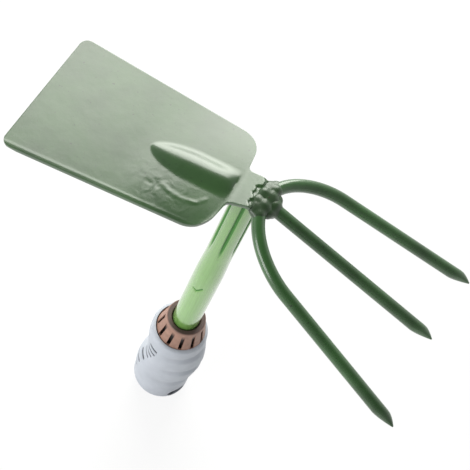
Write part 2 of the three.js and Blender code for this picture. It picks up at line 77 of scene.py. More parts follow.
def turnBetween(a, b):
    return math.atan2(math.sin(a - b), math.cos(a - b))


def awayFrom(here, start, stop):
    # distance from a point to a straight stretch
    way = stop - start
    share = min(max((here - start).dot(way) / way.length_squared, 0), 1)
    return (here - start - way * share).length


# Small helpers: meshes

def meshObject(name, bm):
    # a bmesh in millimetres becomes an object at the origin
    bmesh.ops.scale(bm, vec=Vector((mm, mm, mm)), verts=bm.verts)
    mesh = bpy.data.meshes.new(name)
    bm.to_mesh(mesh)
    bm.free()
    made = bpy.data.objects.new(name, mesh)
    scene.collection.objects.link(made)
    return made


def smoothPiece(piece, smoothAngle):
    piece.data.shade_smooth()
    piece.data.set_sharp_from_angle(angle=math.radians(smoothAngle))


def newPiece(name, bm, material, nodes, smoothAngle):
    # the piece stands for its CAD nodes
    piece = meshObject(name, bm)
    piece.data.materials.append(material)
    smoothPiece(piece, smoothAngle)
    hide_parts(*nodes)
    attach(piece, "root")
    return piece


def bakeSteps(piece, smoothAngle):
    # applies the modifiers, which leaves a plain mesh
    graph = bpy.context.evaluated_depsgraph_get()
    mesh = bpy.data.meshes.new_from_object(piece.evaluated_get(graph))
    piece.modifiers.clear()
    piece.data = mesh
    smoothPiece(piece, smoothAngle)


def cutPiece(piece, cutterBm, smoothAngle):
    cutter = meshObject("cutter", cutterBm)
    step = piece.modifiers.new("cut", "BOOLEAN")
    step.operation = "DIFFERENCE"
    step.solver = "EXACT"
    step.object = cutter
    bakeSteps(piece, smoothAngle)
    bpy.data.objects.remove(cutter)


def growRing(bm, edges):
    # draws an open end out once more, and returns its new points and edges
    grown = bmesh.ops.extrude_edge_only(bm, edges=edges)["geom"]
    ring = [g for g in grown if isinstance(g, bmesh.types.BMVert)]
    return ring, [g for g in grown if isinstance(g, bmesh.types.BMEdge)]


def closeEnds(bm):
    bmesh.ops.holes_fill(bm, edges=[e for e in bm.edges if e.is_boundary], sides=0)
    bmesh.ops.recalc_face_normals(bm, faces=bm.faces)


def joinEnds(bm):
    bmesh.ops.remove_doubles(bm, verts=bm.verts, dist=touching)
    bmesh.ops.recalc_face_normals(bm, faces=bm.faces)


# Small helpers: materials

def hexColor(text):
    # sRGB hex to the linear values that a shader wants
    channels = [int(text[i:i + 2], 16) / 255 for i in (1, 3, 5)]
    linear = [c / 12.92 if c <= 0.04045 else ((c + 0.055) / 1.055) ** 2.4 for c in channels]
    return (*linear, 1)


def addNode(tree, kind, settings=None, links=None):
    node = tree.nodes.new(kind)
    # names of the node's own settings are in lower case, and the rest are its sockets
    for key, value in (settings or {}).items():
        if isinstance(key, str) and key.islower():
            setattr(node, key, value)
        else:
            node.inputs[key].default_value = value
    for key, socket in (links or {}).items():
        tree.links.new(socket, node.inputs[key])
    return node


def startMaterial(name):
    material = bpy.data.materials.new(name)
    material.use_nodes = True
    tree = material.node_tree
    tree.nodes.clear()
    coords = addNode(tree, "ShaderNodeTexCoord").outputs["Object"]
    return material, tree, coords


def endMaterial(tree, shader):
    addNode(tree, "ShaderNodeOutputMaterial", links={"Surface": shader.outputs[0]})


def remap(tree, value, low, high, first, last):
    # first at low, last at high, and straight between them
    ends = {"From Min": low, "From Max": high, "To Min": first, "To Max": last}
    return addNode(tree, "ShaderNodeMapRange", ends, {"Value": value}).outputs["Result"]


def ramp(tree, value, low, high):
    # 0 at low, 1 at high, whichever way round they are
    return remap(tree, value, low, high, 0, 1)


def calc(tree, operation, a, b):
    node = addNode(tree, "ShaderNodeMath", {"operation": operation})
    for slot, value in ((0, a), (1, b)):
        if isinstance(value, (int, float)):
            node.inputs[slot].default_value = value
        else:
            tree.links.new(value, node.inputs[slot])
    return node.outputs[0]


def blendColor(tree, share, first, second):
    # first and second are hex texts or colour sockets, and 6 and 7 are the mix node's colour inputs
    node = addNode(tree, "ShaderNodeMix", {"data_type": "RGBA"})
    tree.links.new(share, node.inputs[0])
    for slot, value in ((6, first), (7, second)):
        if isinstance(value, str):
            node.inputs[slot].default_value = hexColor(value)
        else:
            tree.links.new(value, node.inputs[slot])
    return node.outputs[2]


def noiseAt(tree, coords, sizeMm, detail=2.0, distortion=0.0):
    # a pattern whose blobs are about sizeMm across
    settings = {"Scale": 1 / (sizeMm * mm), "Detail": detail, "Distortion": distortion}
    return addNode(tree, "ShaderNodeTexNoise", settings, {"Vector": coords}).outputs["Fac"]


def bumpFrom(tree, height, depthMm, previous=None):
    links = {"Height": height}
    if previous is not None:
        links["Normal"] = previous
    return addNode(tree, "ShaderNodeBump", {"Distance": depthMm * mm}, links).outputs["Normal"]


def heightOf(tree, coords):
    return addNode(tree, "ShaderNodeSeparateXYZ", links={"Vector": coords}).outputs["Z"]


def axisDistance(tree, coords):
    flatPlace = addNode(tree, "ShaderNodeVectorMath", {"operation": "MULTIPLY", 1: (1, 1, 0)}, {0: coords})
    length = addNode(tree, "ShaderNodeVectorMath", {"operation": "LENGTH"}, {0: flatPlace.outputs[0]})
    return length.outputs["Value"]


# Head paint: thick gloss enamel dipped on mild steel, so it pools in lumps and shows soft orange peel

headPaint = dict(
    thin="#33562a", thick="#2a4924", patchMm=24, patchRange=(0.35, 0.7),
    grime="#22361e", grimeMm=1.6, grimeRange=(0.7, 0.8),
    roughness=0.33, gloss=0.6, glossRoughness=0.2, bending=1.55,
    peelMm=2.2, peelDepth=0.035, lumpMm=9.0, lumpDepth=0.13,
)
paintRunSpot = dict(centre=(21, -36, 237), reach=26, full=6, sizeMm=5.5, depth=0.38, detail=1.5, twist=0.5)


def makeHeadPaint(name, runs=False, **changes):
    material, tree, coords = startMaterial(name)
    p = dict(headPaint, **changes)
    patch = ramp(tree, noiseAt(tree, coords, p["patchMm"], detail=3), *p["patchRange"])
    color = blendColor(tree, patch, p["thin"], p["thick"])
    speck = ramp(tree, noiseAt(tree, coords, p["grimeMm"], detail=1), *p["grimeRange"])
    color = blendColor(tree, speck, color, p["grime"])
    normal = bumpFrom(tree, noiseAt(tree, coords, p["peelMm"], detail=1), p["peelDepth"])
    normal = bumpFrom(tree, noiseAt(tree, coords, p["lumpMm"], detail=1), p["lumpDepth"], normal)
    if runs:
        normal = paintRuns(tree, coords, normal)
    look = {
        "Roughness": p["roughness"], "Coat Weight": p["gloss"], "Coat Roughness": p["glossRoughness"],
        "IOR": p["bending"],
    }
    shader = addNode(tree, "ShaderNodeBsdfPrincipled", look, {"Base Color": color, "Normal": normal})
    endMaterial(tree, shader)
    return material


def paintRuns(tree, coords, normal):
    # the enamel has sagged into wrinkles beside the rib
    p = paintRunSpot
    spot = [v * mm for v in p["centre"]]
    away = addNode(tree, "ShaderNodeVectorMath", {"operation": "DISTANCE", 1: spot}, {0: coords})
    near = ramp(tree, away.outputs["Value"], p["reach"] * mm, p["full"] * mm)
    wrinkle = noiseAt(tree, coords, p["sizeMm"], p["detail"], p["twist"])
    return bumpFrom(tree, calc(tree, "MULTIPLY", wrinkle, near), p["depth"], normal)


bladePaint = makeHeadPaint("gloss_enamel_on_stamped_steel", runs=True)
barPaint = makeHeadPaint(
    "gloss_enamel_on_round_bar",
    thin="#3a6633", thick="#294924", roughness=0.28, gloss=0.5, glossRoughness=0.13,
)
weldPaint = makeHeadPaint(
    "enamel_over_rough_weld",
    thin="#2e4c27", thick="#233a1e", grime="#352f20", roughness=0.42, gloss=0.26,
)


# Blade: one stamped plate, with the rib pressed up from it and the neck standing above

bladeLow, bladeHigh = boxOf("blade")
blade = dict(
    edgeY=bladeLow.y, edgeHalf=bladeHigh.x, shoulderY=-9.1, shoulderHalf=31.4, shoulderSlope=math.radians(6),
    edgeCorner=4.5, shoulderCorner=13.5, slope=math.radians(8.6),
    thickness=2.5, sharpThickness=0.9, sharpRun=9.0, rim=0.4, rimAngle=math.radians(50),
    arch=2.0, archFullness=2.4, archFrom=0.5,
    neckFillet=3.0, rootHalf=10.8, endHalf=9.5, endY=bladeHigh.y, top=bladeHigh.z, neckRise=6.4,
    levelFrom=3.2, neckSlope=math.radians(22.8), bendSoftness=0.35,
    ribNose=-54.0, ribEnd=-8.4, noseRun=26.0, sternRun=11.0, fullness=0.75,
    ribHalf=10.3, ribFar=9.6, ribShift=0.9, ribRise=2.9, crestRound=2.0, footSoftness=2.0,
    edgeBead=0.1, beadInset=1.6, beadHalf=1.3, beadFade=0.8,
    melt=0.9, meltFrom=1.3, meltRun=1.6, meltSide=2, meltLean=0.12,
    meltRagged=2.4, meltGrainMm=3.1, meltSeed=5,
    dripRagged=0.7, dripGrainMm=1.7,
    drips=[
        dict(start=(20.0, -46.0), stop=(20.6, -43.5), wide=1.8, rise=-0.1),
        dict(start=(17.5, -41.5), stop=(20.6, -39.5), wide=1.9, rise=-0.12),
        dict(start=(18.3, -37.5), stop=(20.3, -33.5), wide=2.0, rise=0.11),
        dict(start=(20.3, -33.0), stop=(20.6, -28.8), wide=2.2, rise=0.12),
        dict(start=(20.7, -26.5), stop=(19.8, -20.5), wide=2.0, rise=0.13),
        dict(start=(19.3, -19.0), stop=(15.5, -16.2), wide=2.1, rise=0.12),
    ],
    wingColumns=36, ribColumns=44, rows=180, stripMargin=2, stripFrom=-26, smoothAngle=40,
)


def cornerArc(before, corner, after, radius, steps=10):
    # rounds a corner with an arc that meets both sides smoothly
    back = (before - corner).normalized()
    ahead = (after - corner).normalized()
    half = back.angle(ahead) / 2
    centre = corner + (back + ahead).normalized() * (radius / math.sin(half))
    start = corner + back * (radius / math.tan(half)) - centre
    sweep = start.angle_signed(corner + ahead * (radius / math.tan(half)) - centre)
    points = []
    for i in range(steps + 1):
        turned = start.copy()
        turned.rotate(Matrix.Rotation(-sweep * i / steps, 2))
        points.append(centre + turned)
    return points


def bladeBorders():
    # three sides of one wing, and the side of the neck
    b = blade
    edge = Vector((b["edgeHalf"], b["edgeY"]))
    shoulder = Vector((b["shoulderHalf"], b["shoulderY"]))
    rise = (b["shoulderHalf"] - b["rootHalf"]) * math.tan(b["shoulderSlope"])
    root = Vector((b["rootHalf"], b["shoulderY"] + rise))
    end = Vector((b["endHalf"], b["endY"]))
    inner = Vector((0, b["edgeY"]))
    edgeArc = cornerArc(inner, edge, shoulder, b["edgeCorner"])
    shoulderArc = cornerArc(edge, shoulder, root, b["shoulderCorner"])
    neckArc = cornerArc(shoulder, root, end, b["neckFillet"])
    half = len(edgeArc) // 2
    bottom = edgeArc[:half + 1]
    outer = edgeArc[half:] + shoulderArc[:half + 1]
    top = [*reversed(neckArc[:half + 1])] + [*reversed(shoulderArc[half:])]
    neck = neckArc[half:] + [end]
    return bottom, outer, top, neck


def alongLine(points, share):
    # the place that lies at this share of the line's length
    lengths = [(b - a).length for a, b in zip(points, points[1:])]
    left = share * sum(lengths)
    for a, b, length in zip(points, points[1:], lengths):
        if left <= length:
            return a.lerp(b, left / length if length else 0)
        left -= length
    return points[-1].copy()


def halfAt(points, y):
    # how far the line lies from the middle at this y
    for a, b in zip(points, points[1:]):
        if a.y <= y <= b.y and b.y > a.y:
            return mix(a.x, b.x, (y - a.y) / (b.y - a.y))
    return points[-1].x


def ribHeight(x, y):
    # a leaf-shaped nose, soft feet, and a short stern that ends in the bend of the neck
    b = blade
    if not b["ribNose"] < y < b["ribEnd"]:
        return 0
    fromNose = min((y - b["ribNose"]) / b["noseRun"], 1)
    fromStern = min((b["ribEnd"] - y) / b["sternRun"], 1)
    swell = fromNose * (2 - fromNose)
    stern = fromStern * (2 - fromStern)
    half = b["ribHalf"] if x > b["ribShift"] else b["ribFar"]
    across = min(abs(x - b["ribShift"]) / (half * math.sqrt(swell)), 1)
    section = (1 - across ** b["crestRound"]) ** b["footSoftness"]
    return b["ribRise"] * (swell * stern) ** b["fullness"] * section


def neckHeight(y):
    # level where the bow is welded on, then a ramp down to the blade
    return blade["top"] - max(blade["levelFrom"] - y, 0) * math.tan(blade["neckSlope"])


def sag(x, y, drip):
    # one drip of thick paint: a soft ridge from start to stop, or a dimple when its rise is below 0
    away = awayFrom(Vector((x, y)), Vector(drip["start"]), Vector(drip["stop"]))
    ragged = 1 + blade["dripRagged"] * noise.noise(Vector((x, y, 0)) / blade["dripGrainMm"])
    return drip["rise"] * ragged * bell(away, drip["wide"])


def bladeHeight(x, y):
    # the blade slopes and arches towards the shoulders, then bends up into the ramp of the neck
    b = blade
    flat = b["top"] - b["neckRise"] + (y - b["shoulderY"]) * math.tan(b["slope"])
    fromEdge = min(max((y - b["edgeY"]) / (b["shoulderY"] - b["edgeY"]), 0), 1)
    halfWidth = mix(b["edgeHalf"], b["shoulderHalf"], fromEdge)
    across = max(1 - abs(x / halfWidth) ** b["archFullness"], 0)
    plain = flat + b["arch"] * smoothStep(b["archFrom"], 1, fromEdge) * across
    neck = neckHeight(y)
    sheet = (plain + neck + math.hypot(plain - neck, b["bendSoftness"])) / 2
    # the paint has drained into a bead along the +X edge
    fading = smoothStep(1, b["beadFade"], fromEdge)
    bead = b["edgeBead"] * bell(halfWidth - x - b["beadInset"], b["beadHalf"]) * fading
    # the weld has melted the end of the neck along a ragged line
    grain = noise.noise(Vector((x, y, b["meltSeed"])) / b["meltGrainMm"])
    ragged = b["meltFrom"] + b["meltRagged"] * grain + b["meltLean"] * abs(x - b["meltSide"])
    melted = b["melt"] * smoothStep(ragged, ragged + b["meltRun"], y)
    return sheet + ribHeight(x, y) + bead - melted + sum(sag(x, y, drip) for drip in b["drips"])


def wingPlace(s, t, near, bottom, outer, top):
    # a place on a wing, blended from its sides: s runs out from the middle strip, t towards the neck
    inner = Vector((blade["ribHalf"] + blade["stripMargin"], blade["edgeY"]))
    low = alongLine([inner] + bottom, s)
    high = alongLine(top, s)
    side = alongLine(outer, t)
    corners = inner * (1 - s) * (1 - t) + outer[0] * s * (1 - t) + top[0] * (1 - s) * t + outer[-1] * s * t
    return low * (1 - t) + high * t + near * (1 - s) + side * s - corners


def makeBlade():
    # a unit grid with its corners beside the neck left out is laid over the outline, then thickened
    b = blade
    bottom, outer, top, neck = bladeBorders()
    columns = b["ribColumns"] + 2 * b["wingColumns"]
    bm = bmesh.new()
    bmesh.ops.create_grid(bm, x_segments=columns, y_segments=b["rows"], size=0.5)
    wing = b["wingColumns"] / columns
    inStrip = 0.5 - wing
    rootY = neck[0].y
    rootShare = (rootY - b["edgeY"]) / (b["endY"] - b["edgeY"])
    rootShare = round(rootShare * b["rows"]) / b["rows"]
    spare = [
        f for f in bm.faces
        if abs(f.calc_center_median().x) > inStrip and f.calc_center_median().y + 0.5 > rootShare
    ]
    bmesh.ops.delete(bm, geom=spare, context="FACES")
    stripHalf = b["ribHalf"] + b["stripMargin"]
    for vert in bm.verts:
        # rounding puts the wings' last row past the root, so that row keeps the t of the row before
        u, v = vert.co.x, vert.co.y + 0.5
        if v <= rootShare:
            t = v / rootShare
            y = mix(b["edgeY"], rootY, t)
            strip = mix(stripHalf, neck[0].x, smoothStep(b["stripFrom"], rootY, y))
        else:
            y = mix(rootY, b["endY"], (v - rootShare) / (1 - rootShare))
            strip = halfAt(neck, y)
        if abs(u) <= inStrip + hair:
            x = strip * abs(u) / inStrip
        else:
            x, y = wingPlace((abs(u) - inStrip) / wing, t, Vector((strip, y)), bottom, outer, top)
        x = math.copysign(x, u)
        vert.co = (x, y, bladeHeight(x, y))
    bmesh.ops.recalc_face_normals(bm, faces=bm.faces)
    if sum(f.normal.z for f in bm.faces) < 0:
        bmesh.ops.reverse_faces(bm, faces=bm.faces)
    under = bmesh.ops.extrude_face_region(bm, geom=list(bm.faces))
    for vert in [g for g in under["geom"] if isinstance(g, bmesh.types.BMVert)]:
        share = min((vert.co.y - b["edgeY"]) / b["sharpRun"], 1)
        vert.co.z -= mix(b["sharpThickness"], b["thickness"], share)
    bmesh.ops.recalc_face_normals(bm, faces=bm.faces)
    rimEdges = [e for e in bm.edges if len(e.link_faces) == 2 and e.calc_face_angle() > b["rimAngle"]]
    bmesh.ops.bevel(
        bm, geom=rimEdges, offset=b["rim"], offset_type="OFFSET", segments=2, profile=0.5,
        affect="EDGES", material=-1, clamp_overlap=True,
    )
    bmesh.ops.recalc_face_normals(bm, faces=bm.faces)
    newPiece("hoe_blade", bm, bladePaint, ["blade"], b["smoothAngle"])


makeBlade()
print("blade made")


# Tines: round bar, the outer two bent from one length, with hammered points

rodRadius = 3.4
tines = dict(
    radius=rodRadius, crownY=bladeHigh.y + seatGap + rodRadius, crownZ=bladeHigh.z - rodRadius,
    slope=math.radians(18.9), reach=117.0, halfWidth=32.1, depth=34.7, crownPull=16.0, armPull=17.0,
    splay=math.radians(10.5), centreReach=113.2, lean=math.radians(-2.9),
    pointLong=12.0, pointShort=5.6, pointRadius=0.4, pointBulge=0.35,
    sides=28, stepMm=2.0, bendSteps=32, smoothAngle=50,
)


def bowPath():
    # half the bow is a curve from the crown and a straight arm, and the other half mirrors it
    t = tines
    armStart = Vector((t["halfWidth"], t["depth"]))
    arm = Vector((math.sin(t["splay"]), math.cos(t["splay"])))
    bend = [Vector((0, 0)), Vector((t["crownPull"], 0)), armStart - arm * t["armPull"], armStart]
    half = []
    for i in range(t["bendSteps"] + 1):
        s = i / t["bendSteps"]
        weights = [(1 - s) ** 3, 3 * s * (1 - s) ** 2, 3 * s * s * (1 - s), s ** 3]
        half.append(sum((p * w for p, w in zip(bend, weights)), Vector((0, 0))))
    run = (t["reach"] - t["depth"]) / math.cos(t["splay"])
    steps = int(run / t["stepMm"])
    half += [armStart + arm * (run * i / steps) for i in range(1, steps + 1)]
    return [Vector((-p.x, p.y)) for p in reversed(half[1:])] + half


def centrePath():
    t = tines
    way = Vector((math.sin(t["lean"]), math.cos(t["lean"])))
    run = t["centreReach"] / way.y
    steps = int(run / t["stepMm"])
    return [way * (run * i / steps) for i in range(steps + 1)]


def taper(left, run):
    share = min(max(left / run, 0), 1)
    return mix(tines["pointRadius"], tines["radius"], share * (1 + tines["pointBulge"] * (1 - share)))


def sweepBar(path, pointedStart):
    # a ring drawn out along the path in the tine plane, narrowed to a hammered point
    t = tines
    lengths = [0]
    for a, b in zip(path, path[1:]):
        lengths.append(lengths[-1] + (b - a).length)
    hang = Matrix.Translation((0, t["crownY"], t["crownZ"])) @ Matrix.Rotation(-t["slope"], 4, "X")
    bm = bmesh.new()
    ring = bmesh.ops.create_circle(bm, segments=t["sides"], radius=1, cap_ends=False)["verts"]
    edges = list(bm.edges)
    placed = Matrix.Identity(4)
    for i, centre in enumerate(path):
        way = (path[min(i + 1, len(path) - 1)] - path[max(i - 1, 0)]).normalized()
        left = lengths[-1] - lengths[i]
        if pointedStart:
            left = min(left, lengths[i])
        # the side towards +X is drawn down over the longer run
        side = Vector((way.y, -way.x))
        flip = 1 if side.x >= 0 else -1
        near, far = taper(left, t["pointLong"]), taper(left, t["pointShort"])
        wide, shift = (near + far) / 2, (near - far) / 2 * flip
        tall = taper(left, (t["pointLong"] + t["pointShort"]) / 2)
        across = Vector((side.x, side.y, 0))
        middle = Vector((centre.x, centre.y, 0)) + across * shift
        here = hang @ Matrix((
            (across.x * wide, 0, way.x, middle.x),
            (across.y * wide, 0, way.y, middle.y),
            (0, tall, 0, 0),
            (0, 0, 0, 1),
        ))
        if i:
            ring, edges = growRing(bm, edges)
        bmesh.ops.transform(bm, matrix=here @ placed.inverted(), verts=ring)
        placed = here
    closeEnds(bm)
    return bm


for name, path, pointedStart, node in (
    ("outer_tines", bowPath(), True, "outer_tine_bow"),
    ("middle_tine", centrePath(), False, "centre_tine"),
):
    newPiece(name, sweepBar(path, pointedStart), barPaint, [node], tines["smoothAngle"])
print("tines made")


# Welds: stick-weld beads, lumpy and painted over

weld = dict(
    voxel=0.5, softening=0.5, softenings=36, grainMm=5.4, grainDepth=0.9, fineMm=2.8, fineDepth=0.1,
    smoothAngle=180,
)

# each lump has its place, from the crown of the bow and the height given below, its radius and its squash
neckBead = [
    (-7.4, -1.6, -3.2, 3.9, 0.9),
    (-2.6, -2.0, -2.3, 3.6, 0.9),
    (2.4, -2.7, -2.5, 3.1, 0.9),
    (6.6, -1.9, -3.2, 4.0, 0.9),
    (8.6, -2.0, -3.1, 2.7, 0.9),
    (-7.8, 1.9, -3.2, 3.8, 0.9),
    (-2.2, 2.2, -3.1, 4.7, 0.85),
    (3.4, 1.5, -3.5, 4.7, 0.85),
    (8.4, 0.9, -3.6, 3.9, 0.9),
    (9.4, 1.0, -3.2, 3.2, 0.9),
    (-11.0, 1.2, -4.2, 3.5, 0.95),
]
rootBead = [
    (-4.6, 4.2, -1.0, 3.7, 0.9),
    (-0.4, 4.6, -0.2, 4.2, 0.9),
    (4.2, 4.0, -1.0, 3.8, 0.9),
    (-0.6, 7.4, -2.4, 3.7, 0.9),
    (0.6, 5.4, -4.7, 3.2, 0.9),
]
tangRing = dict(drops=18, reach=5.6, radius=1.7, waves=5, waveShare=0.12, sinkShare=0.6)


def makeWeld(name, node, lumps, startY=0, startZ=0):
    # molten drops run together into one skin, then roughened a little
    bm = bmesh.new()
    for x, y, z, radius, squash in lumps:
        spot = Matrix.Translation((x, startY + y, startZ + z)) @ Matrix.Diagonal((1, 1, squash, 1))
        bmesh.ops.create_icosphere(bm, subdivisions=3, radius=radius, matrix=spot)
    piece = newPiece(name, bm, weldPaint, [node], weld["smoothAngle"])
    melt = piece.modifiers.new("melt", "REMESH")
    melt.mode = "VOXEL"
    melt.voxel_size = weld["voxel"] * mm
    soften = piece.modifiers.new("soften", "SMOOTH")
    soften.factor = weld["softening"]
    soften.iterations = weld["softenings"]
    bakeSteps(piece, weld["smoothAngle"])
    for vert in piece.data.vertices:
        swell = noise.noise(vert.co / (weld["grainMm"] * mm)) * weld["grainDepth"]
        swell += noise.noise(vert.co / (weld["fineMm"] * mm)) * weld["fineDepth"]
        vert.co += vert.normal * swell * mm


def tangLumps():
    # a ring of drops where the tang meets the underside of the neck
    r = tangRing
    low, high = boxOf("tang_weld")
    lumps = []
    for i in range(r["drops"]):
        angle = 2 * math.pi * i / r["drops"]
        x, y = r["reach"] * math.cos(angle), r["reach"] * math.sin(angle)
        radius = r["radius"] * (1 + r["waveShare"] * math.sin(r["waves"] * angle))
        under = neckHeight(y) - blade["thickness"]
        lumps.append((x, y, min((low.z + high.z) / 2, under - radius * r["sinkShare"]), radius, 1))
    return lumps


makeWeld("neck_weld_bead", "neck_weld", neckBead, tines["crownY"], blade["top"])
makeWeld("middle_tine_weld_bead", "centre_tine_weld", rootBead, tines["crownY"], tines["crownZ"])
makeWeld("tang_weld_bead", "tang_weld", tangLumps())
print("welds made")


# Handle tube: drawn aluminium, lacquered light green, swaged and fluted onto the tang

tubeLow, tubeHigh = boxOf("tube")
tube = dict(
    radius=8.0, swaged=7.35, wall=1.2, low=tubeLow.z, high=tubeHigh.z, swageLow=147.0, swageHigh=177.0,
    flutes=6, phase=math.radians(11), fluteDepth=0.9, fluteWidth=1.6, fluteLow=173.0, fluteFull=200.0,
    # the staking mark is a shallow tick, as angles round the tube in degrees and heights
    stake=[(-24.0, 139.0), (-8.0, 138.3), (12.0, 142.9)], stakeDepth=0.55, stakeHalf=1.0,
    stakeLow=136, stakeHigh=145, stakeStepMm=0.4,
    sides=216, stepMm=1.5, plainRows=(60.0, 130.0), boreRow=200.0, smoothAngle=40,
)


def nickDepth(angle, z):
    # a nick along the tick, deepest at its middle
    t = tube
    here = Vector((t["radius"] * turnBetween(angle, 0), z))
    points = [Vector((t["radius"] * math.radians(a), h)) for a, h in t["stake"]]
    away = min(awayFrom(here, start, stop) for start, stop in zip(points, points[1:]))
    return t["stakeDepth"] * bell(away, t["stakeHalf"])


def tubeRadius(angle, z, inward):
    t = tube
    plain = mix(t["radius"], t["swaged"], smoothStep(t["swageLow"], t["swageHigh"], z))
    spacing = 2 * math.pi / t["flutes"]
    offset = ((angle - t["phase"] + spacing / 2) % spacing - spacing / 2) * plain
    pressed = t["fluteDepth"] * smoothStep(t["fluteLow"], t["fluteFull"], z) * bell(offset, t["fluteWidth"])
    return plain - pressed - nickDepth(angle, z) - inward


def makeTube(material):
    # rings from the foot up the outside, over the mouth and back down the bore
    t = tube
    rows = [t["low"], t["low"], *t["plainRows"]]
    while rows[-1] < t["high"]:
        step = t["stakeStepMm"] if t["stakeLow"] < rows[-1] < t["stakeHigh"] else t["stepMm"]
        rows.append(min(rows[-1] + step, t["high"]))
    boreFrom = len(rows)
    rows += [t["high"], t["boreRow"], t["low"]]
    bm = bmesh.new()
    bmesh.ops.create_circle(bm, segments=t["sides"], radius=t["radius"], cap_ends=False)
    ring, edges = list(bm.verts), list(bm.edges)
    for i, z in enumerate(rows):
        inward = t["wall"] if i == 0 or i >= boreFrom else 0.0
        if i:
            ring, edges = growRing(bm, edges)
        for vert in ring:
            angle = math.atan2(vert.co.y, vert.co.x)
            radius = tubeRadius(angle, z, inward)
            vert.co = (radius * math.cos(angle), radius * math.sin(angle), z)
    joinEnds(bm)
    newPiece("handle_tube", bm, material, ["tube"], t["smoothAngle"])


tubeFinish = dict(
    color="#76aa4f", pale="#88bb66", drawMm=0.9, drawDepth=0.01, drawStretch=0.02, drawRange=(0.3, 0.8),
    # the darker green towards the head is painted shade
    headShade="#5c8c3c", headShadeFrom=125, headShadeFull=215, headShadeShare=0.6,
    # the darker green in the flutes and the nick is painted shade
    fluteShade="#3f8030", fluteShadeFrom=0.1, fluteShadeFull=0.45, sunkDull=0.9, sunkRoughness=0.5,
    roughness=0.25, metal=0.25, bending=1.5, coatRoughness=0.08, coatBending=1.6,
)


def makeTubeFinish():
    # drawn tube under a clear green lacquer: soft lines along the draw, painted shade towards the head, and
    # painted shade in the flutes and the nick
    material, tree, coords = startMaterial("green_lacquer_on_drawn_tube")
    t = tubeFinish
    stretch = {"Scale": (1, 1, t["drawStretch"])}
    stretched = addNode(tree, "ShaderNodeMapping", stretch, {"Vector": coords}).outputs[0]
    drawLines = noiseAt(tree, stretched, t["drawMm"])
    color = blendColor(tree, ramp(tree, drawLines, *t["drawRange"]), t["color"], t["pale"])
    height = heightOf(tree, coords)
    # painted shade: the green is darker towards the head
    headShadeMask = ramp(tree, height, t["headShadeFrom"] * mm, t["headShadeFull"] * mm)
    color = blendColor(tree, calc(tree, "MULTIPLY", headShadeMask, t["headShadeShare"]), color, t["headShade"])
    # below the round of the swaged end, or of the plain tube, the surface lies in a flute or a nick
    roundHere = remap(
        tree, height, tube["swageLow"] * mm, tube["swageHigh"] * mm, tube["radius"] * mm, tube["swaged"] * mm,
    )
    sunk = calc(tree, "SUBTRACT", roundHere, axisDistance(tree, coords))
    sunkShadeAndDull = ramp(tree, sunk, t["fluteShadeFrom"] * mm, t["fluteShadeFull"] * mm)
    # painted shade in the flutes and the nick
    color = blendColor(tree, sunkShadeAndDull, color, t["fluteShade"])
    # the flutes and the nick get a darker green as painted shade, and are duller than the burnished round
    dull = calc(tree, "MULTIPLY", sunkShadeAndDull, t["sunkDull"])
    coat = calc(tree, "SUBTRACT", 1, dull)
    roughness = calc(tree, "ADD", calc(tree, "MULTIPLY", dull, t["sunkRoughness"]), t["roughness"])
    normal = bumpFrom(tree, drawLines, t["drawDepth"])
    look = {
        "Metallic": t["metal"], "IOR": t["bending"],
        "Coat Roughness": t["coatRoughness"], "Coat IOR": t["coatBending"],
    }
    links = {"Base Color": color, "Normal": normal, "Coat Weight": coat, "Roughness": roughness}
    endMaterial(tree, addNode(tree, "ShaderNodeBsdfPrincipled", look, links))
    return material


makeTube(makeTubeFinish())
print("tube made")


# Collar: moulded plastic ferrule with twelve slots that deepen towards the grip

collarLow, collarHigh = boxOf("collar")
gripTop = boxOf("grip_sleeve")[1].z
collar = dict(
    base=collarLow.z, face=collarHigh.z, baseRadius=15.0, faceRadius=11.5, bore=8.45, chamfer=0.5,
    slots=12, phase=math.radians(-5), slotWidth=2.1, slotFloor=11.8, slotReach=6, slotEndMargin=1.4,
    sides=144, smoothAngle=30,
)
collarFinish = dict(
    color="#ac8472", shade="#947262", mottleMm=3.5, mottleRange=(0.3, 0.75),
    mouth="#5b4743", mouthInner=-0.6, mouthOuter=0.2,
    # the near-black in the slots is painted shade
    recessShade="#1d130c", recessShadeRange=(0.2, 1.1),
    grainMm=0.9, grainDepth=0.02, roughness=0.48, bending=1.49,
)


def makeCollarFinish():
    # brown polypropylene, satin from the mould, with painted shade in the slots that darkens the deeper a
    # point lies
    material, tree, coords = startMaterial("moulded_brown_polypropylene")
    c, f = collar, collarFinish
    radius = axisDistance(tree, coords)
    fall = (c["baseRadius"] - c["faceRadius"]) / (c["face"] - c["base"])
    # outer radius of the cone at this height, less the radius here, is how deep in a slot the point lies
    lost = calc(tree, "MULTIPLY", heightOf(tree, coords), fall)
    cone = calc(tree, "SUBTRACT", (c["baseRadius"] + fall * c["base"]) * mm, lost)
    depth = calc(tree, "SUBTRACT", cone, radius)
    onSide = ramp(
        tree, radius, (c["faceRadius"] + f["mouthInner"]) * mm, (c["faceRadius"] + f["mouthOuter"]) * mm,
    )
    # painted shade, darker the deeper a point lies in a slot
    slotShadeMask = calc(tree, "MULTIPLY", ramp(tree, depth, *[v * mm for v in f["recessShadeRange"]]), onSide)
    mottle = ramp(tree, noiseAt(tree, coords, f["mottleMm"], detail=3), *f["mottleRange"])
    color = blendColor(tree, mottle, f["color"], f["shade"])
    color = blendColor(tree, onSide, f["mouth"], color)
    color = blendColor(tree, slotShadeMask, color, f["recessShade"])
    normal = bumpFrom(tree, noiseAt(tree, coords, f["grainMm"]), f["grainDepth"])
    look = {"Roughness": f["roughness"], "IOR": f["bending"]}
    shader = addNode(tree, "ShaderNodeBsdfPrincipled", look, {"Base Color": color, "Normal": normal})
    endMaterial(tree, shader)
    return material


